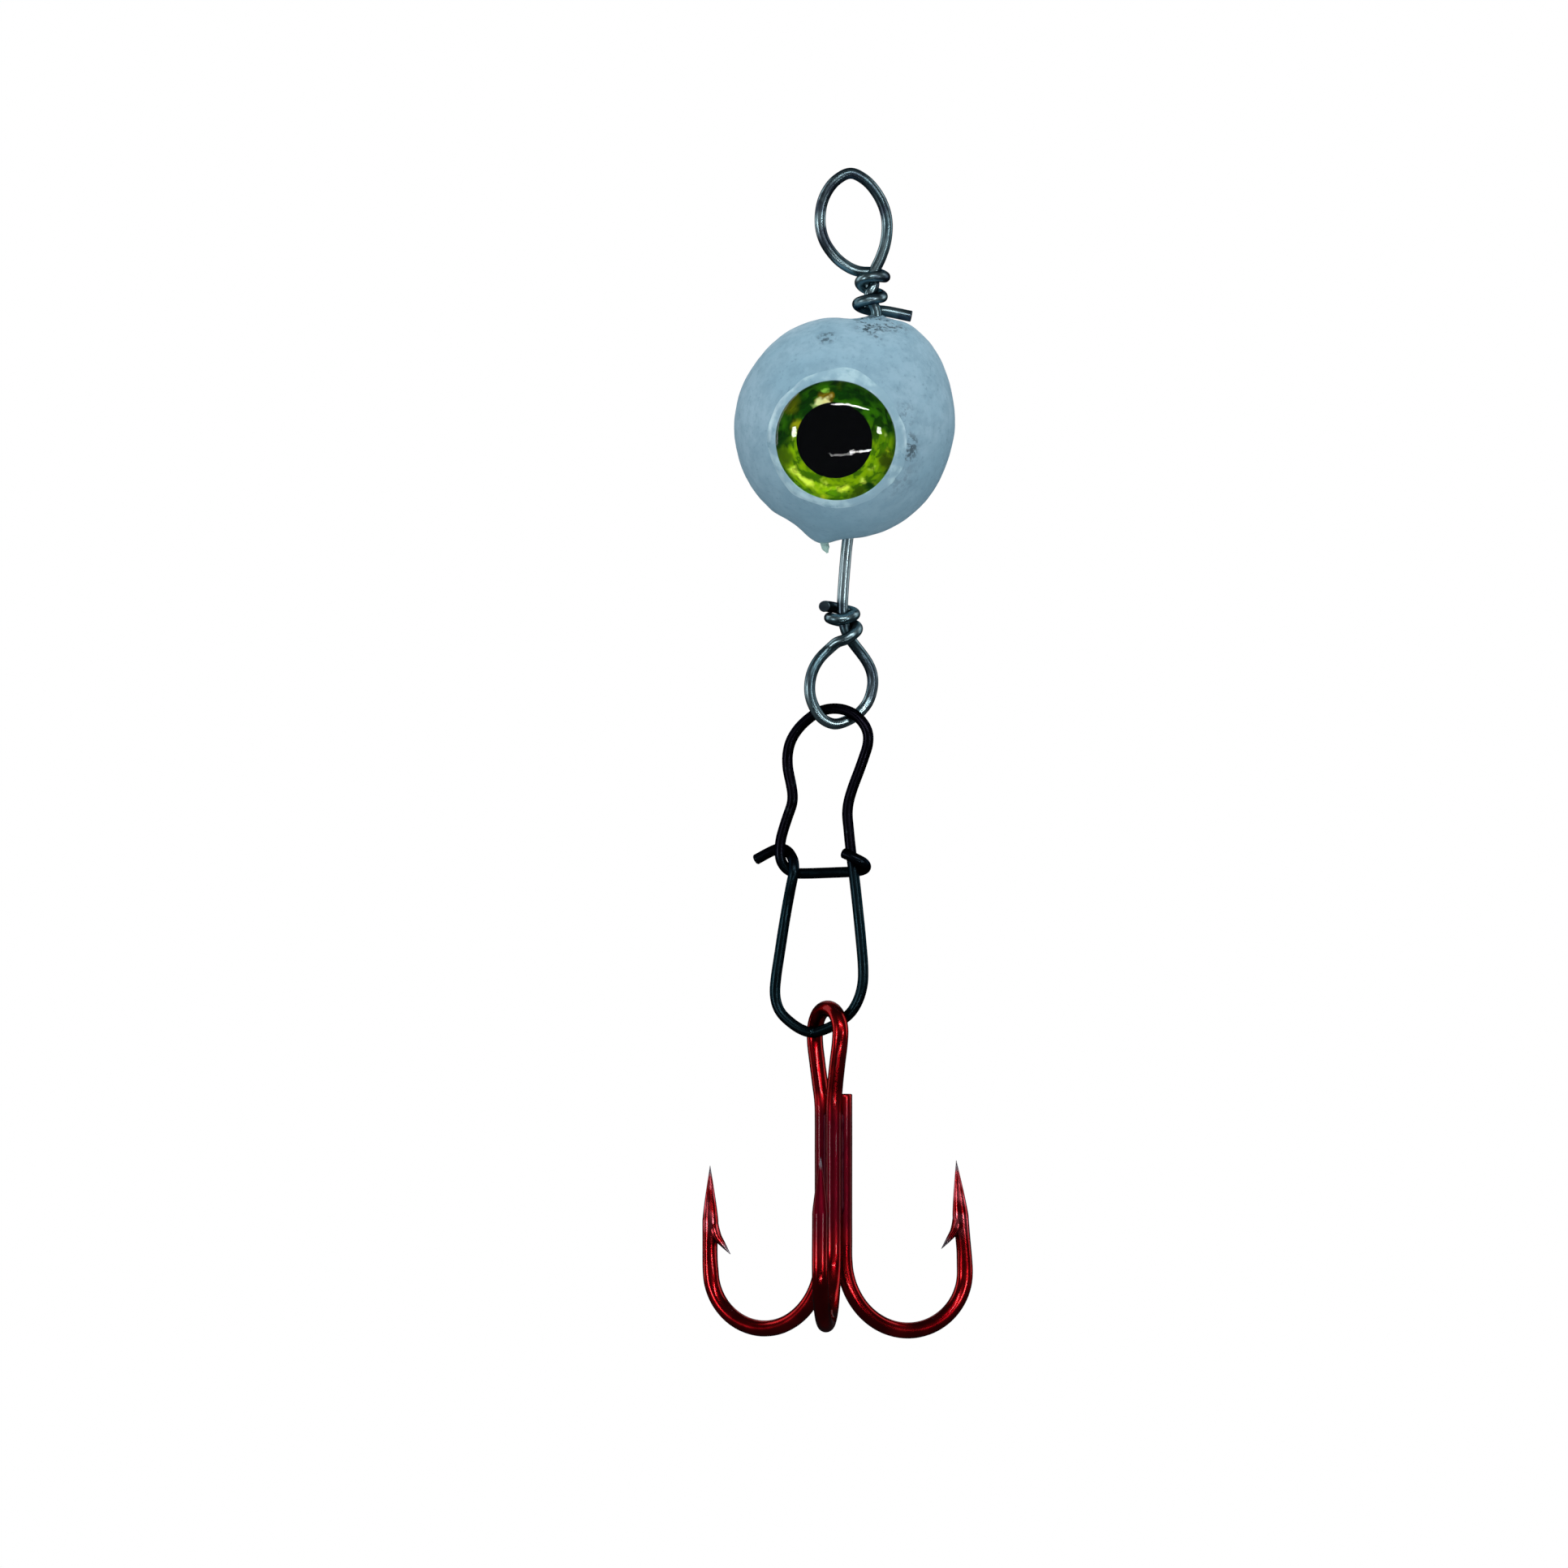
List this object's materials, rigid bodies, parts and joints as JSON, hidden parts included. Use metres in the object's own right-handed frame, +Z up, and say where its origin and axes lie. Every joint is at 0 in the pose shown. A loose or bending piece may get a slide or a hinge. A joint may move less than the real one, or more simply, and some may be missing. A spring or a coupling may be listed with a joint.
{
  "type": "jig head",
  "caption": "Ball jig head with stick-on eyes on a twisted through-wire, hung with a bent-wire snap that carries a barbed treble hook.",
  "frame": {"origin": "inside of the top of the line-tie loop, where a line or leader pulls", "axes": "+Z up towards the line, the lure hangs down -Z; the front eye looks along -Y; +X is to the right seen from the front"},
  "size_m": [0.0167, 0.0161, 0.0722],
  "materials": {
    "lead": "matte",
    "coat": "matte",
    "stainless": "polished",
    "black_nickel": "gloss",
    "hook_lacquer": "gloss",
    "braze": "satin",
    "eye_adhesive": "matte",
    "eye_foil": "gloss",
    "eye_pupil": "gloss",
    "eye_dome": "gloss",
    "glue": "gloss"
  },
  "bodies": {
    "head": {"lead_ball": "lead", "head_coat": "coat", "spine_wire": "stainless", "front_eye_adhesive": "eye_adhesive", "front_eye_foil_iris": "eye_foil", "front_eye_pupil": "eye_pupil", "front_eye_dome": "eye_dome", "front_eye_glue_rim": "glue", "back_eye_adhesive": "eye_adhesive", "back_eye_foil_iris": "eye_foil", "back_eye_pupil": "eye_pupil", "back_eye_dome": "eye_dome", "back_eye_glue_rim": "glue"},
    "snap": {"snap_wire": "black_nickel"},
    "latch": {"snap_latch_arm": "black_nickel"},
    "treble": {"treble_double_hook": "hook_lacquer", "treble_single_hook": "hook_lacquer", "braze_left": "braze", "braze_right": "braze", "braze_rear": "braze"}
  },
  "joints": [
    {"name": "snap_swing", "type": "hinge", "parent": "head", "child": "snap", "pos_m": [-0.0008, 0.00005, -0.03275], "axis": [0.8, -0.6, 0], "range_deg": [-60, 60]},
    {"name": "latch_squeeze", "type": "hinge", "parent": "snap", "child": "latch", "pos_m": [-0.00456, 0.00137, -0.0509], "axis": [0.342, 0.9397, 0], "range_deg": [0, 12], "stiffness_Nm_per_rad": 0.02, "springref_deg": -5.73},
    {"name": "treble_swing", "type": "hinge", "parent": "snap", "child": "treble", "pos_m": [-0.0014, 0.00026, -0.05242], "axis": [0.9721, 0.147, 0.183], "range_deg": [-85, 85]}
  ]
}
